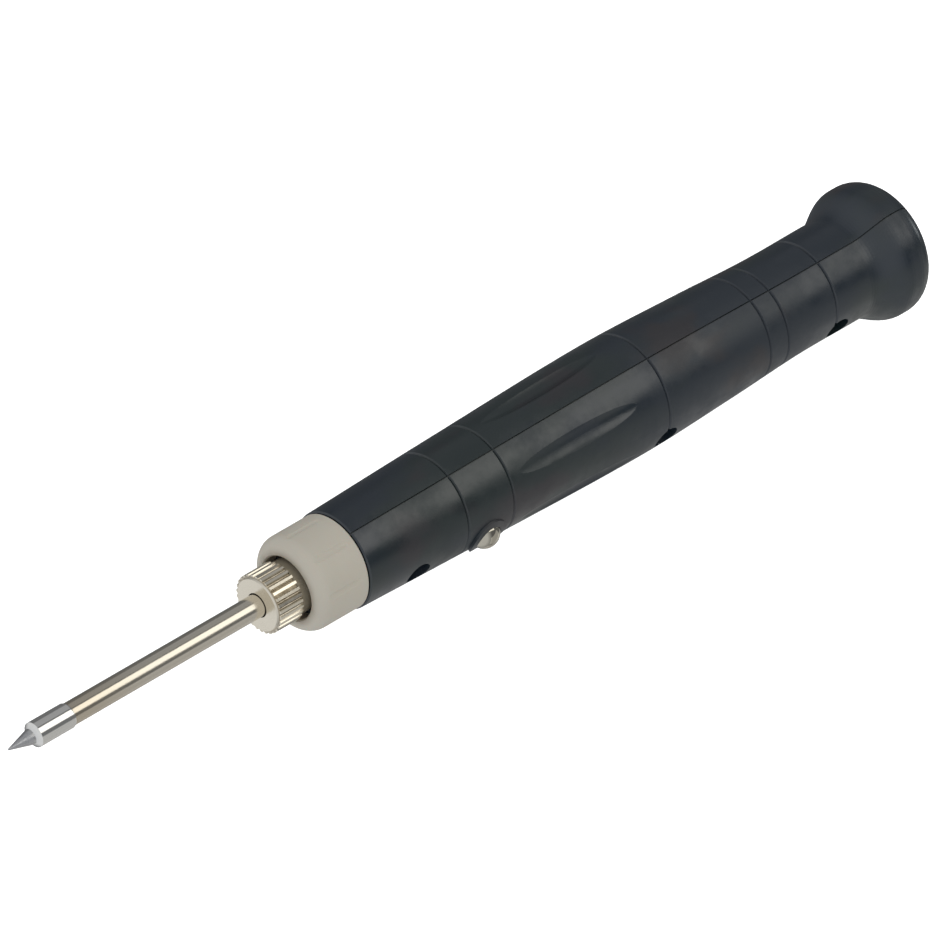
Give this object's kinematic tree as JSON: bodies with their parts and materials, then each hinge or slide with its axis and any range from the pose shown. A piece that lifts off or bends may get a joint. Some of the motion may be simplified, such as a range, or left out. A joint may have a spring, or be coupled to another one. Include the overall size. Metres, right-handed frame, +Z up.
{
  "type": "usb soldering iron",
  "caption": "Slim pen soldering iron with a two-shell grip, touch ball, light nose collar, knurled nut and a slide-on pointed tip over a heater rod.",
  "frame": {"origin": "centre of the cable socket's mouth, on the tool's axis in the tail face", "axes": "+X along the tool's axis and out of the tail, so the tip points to -X; +Z up; the shells part on the XZ plane, with the touch ball and the screws on the -Y side"},
  "size_m": [0.17, 0.0204, 0.0204],
  "materials": {
    "shell_plastic": "satin blue-black moulded plastic",
    "collar_plastic": "matte warm light grey",
    "screw_steel": "dark zinc",
    "tip_plating": "bright plated",
    "tube_steel": "warm nickel",
    "nut_plating": "polished nickel",
    "bush_brass": "turned",
    "ceramic": "fired white ceramic",
    "lead_sleeve": "white sleeve",
    "spring_steel": "drawn wire",
    "board_laminate": "solder mask",
    "chip_plastic": "moulded epoxy",
    "can_metal": "drawn can",
    "led_plastic": "clear red",
    "socket_plastic": "moulded black",
    "contact_brass": "tinned brass",
    "red_insulation": "satin",
    "black_insulation": "satin"
  },
  "bodies": {
    "handle": {"switch_side_shell": "shell_plastic", "plain_side_shell": "shell_plastic", "nose_collar": "collar_plastic", "shell_screws": "screw_steel", "heater_bush": "bush_brass", "heater_rod": "ceramic", "heater_leads": "lead_sleeve", "touch_spring": "spring_steel", "circuit_board": "board_laminate", "controller_chip": "chip_plastic", "power_transistor": "chip_plastic", "motion_sensor": "can_metal", "indicator_led": "led_plastic", "chip_resistors": "chip_plastic", "capacitor": "can_metal", "socket_body": "socket_plastic", "socket_contacts": "contact_brass", "supply_lead": "red_insulation", "return_lead": "black_insulation"},
    "tip": {"tip_bit": "tip_plating", "tip_tube": "tube_steel", "tip_flange": "tube_steel"},
    "washer": {"thrust_washer": "tube_steel"},
    "nut": {"knurled_nut": "nut_plating"},
    "ball": {"touch_ball": "nut_plating"}
  },
  "joints": [
    {"name": "tip_pull", "type": "slide", "parent": "handle", "child": "tip", "axis": [-1, 0, 0], "range_m": [0, 0.036]},
    {"name": "nut_advance", "type": "slide", "parent": "tip", "child": "washer", "axis": [-1, 0, 0], "range_m": [0, 0.003]},
    {"name": "nut_turn", "type": "hinge", "parent": "washer", "child": "nut", "pos_m": [-0.12, 0, 0], "axis": [-1, 0, 0], "range_deg": [0, 1440]},
    {"name": "touch_ball_press", "type": "slide", "parent": "handle", "child": "ball", "axis": [0, 1, 0], "range_m": [0, 0.0006], "stiffness_N_per_m": 300, "springref_m": -0.001, "deforming": ["touch_spring"]}
  ],
  "couplings": [
    {"joint": "nut_turn", "follows": "nut_advance", "rad_per_m": 8377.5}
  ]
}
